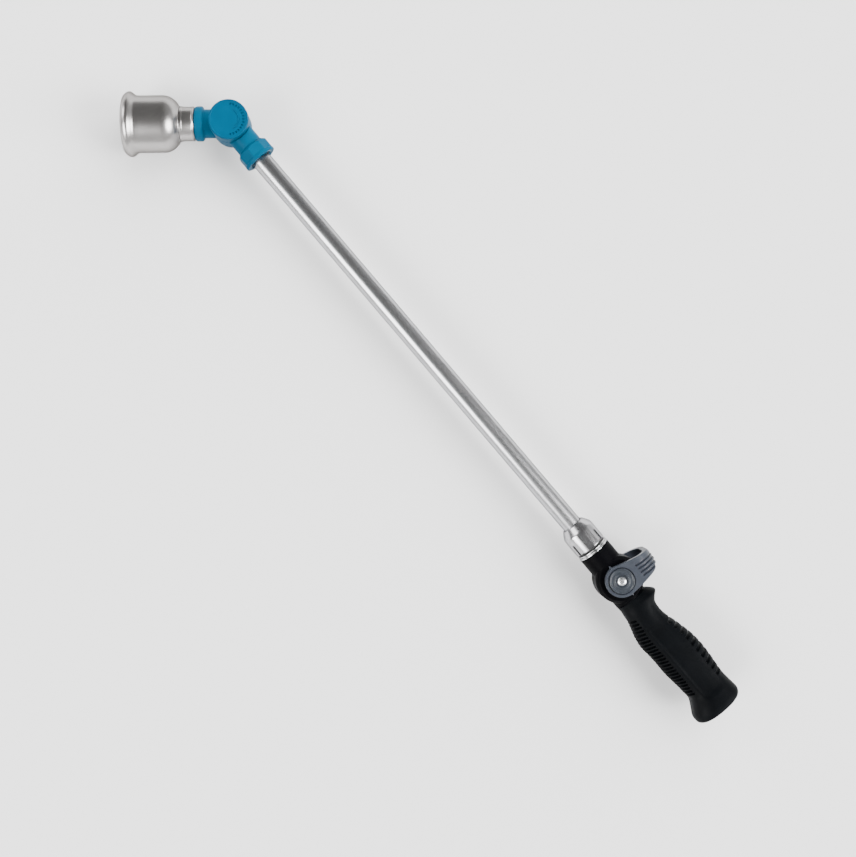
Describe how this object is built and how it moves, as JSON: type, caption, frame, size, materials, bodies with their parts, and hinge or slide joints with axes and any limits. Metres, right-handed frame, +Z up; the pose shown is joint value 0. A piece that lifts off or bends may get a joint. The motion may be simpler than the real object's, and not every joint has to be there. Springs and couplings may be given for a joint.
{
  "type": "watering wand",
  "caption": "Long aluminium watering wand with a pivoting bell-shaped spray head, a thumb-lever rotary valve and a ribbed black rubber grip.",
  "frame": {"origin": "middle of the bottom of the bounding box, with the wand lying on its side", "axes": "+X along the tube towards the hose inlet, +Y towards the thumb lever, +Z up, along the head pivot and valve axes"},
  "size_m": [0.7366, 0.1214, 0.0562],
  "materials": {
    "teal_plastic": "moulded, semi-gloss teal",
    "bell_metal": "polished, lightly brushed round the bell",
    "tube_aluminium": "satin anodised silver, drawn along the tube",
    "chrome": "bright plated",
    "zinc": "zinc plated",
    "brass": "turned",
    "lever_grey": "moulded blue-grey, fine texture",
    "black_plastic": "moulded black, fine texture",
    "seal_rubber": "soft black seal",
    "grip_rubber": "soft matte black overmould",
    "white_plastic": "natural acetal"
  },
  "bodies": {
    "wand_body": {"pivot_screw": "zinc", "pivot_locknut": "zinc", "pivot_cap_far": "teal_plastic", "inlet_arm": "teal_plastic", "front_tube_nut": "teal_plastic", "front_gland_ring": "seal_rubber", "aluminium_tube": "tube_aluminium", "rear_tube_nut": "chrome", "rear_olive": "brass", "nut_washer": "seal_rubber", "trim_ring": "chrome", "valve_body": "black_plastic", "rubber_grip": "grip_rubber", "grip_core": "black_plastic", "inlet_strainer": "white_plastic", "hose_washer": "seal_rubber", "inlet_insert": "brass"},
    "spray_head": {"spray_bell": "bell_metal", "spray_face": "bell_metal", "face_gasket": "seal_rubber", "flow_diffuser": "white_plastic", "bell_ferrule": "bell_metal", "bell_nipple": "white_plastic", "bell_washer": "seal_rubber", "bell_locknut": "brass", "outlet_arm": "teal_plastic", "pivot_cap_near": "teal_plastic", "pivot_seal_upper": "seal_rubber", "pivot_seal_lower": "seal_rubber", "pivot_wave_washer": "zinc"},
    "valve_lever": {"valve_plug": "white_plastic", "plug_seal_near": "seal_rubber", "plug_seal_far": "seal_rubber", "thumb_lever": "lever_grey", "hub_cap_near": "lever_grey", "hub_cap_far": "lever_grey", "lever_screw_near": "zinc", "lever_screw_far": "zinc"}
  },
  "joints": [
    {"name": "head_pivot", "type": "hinge", "parent": "wand_body", "child": "spray_head", "pos_m": [-0.29045, 0.02516, 0.0281], "axis": [0, 0, 1], "range_deg": [-140, 40]},
    {"name": "lever_turn", "type": "hinge", "parent": "wand_body", "child": "valve_lever", "pos_m": [0.22695, 0.02516, 0.0281], "axis": [0, 0, 1], "range_deg": [0, 50]}
  ]
}
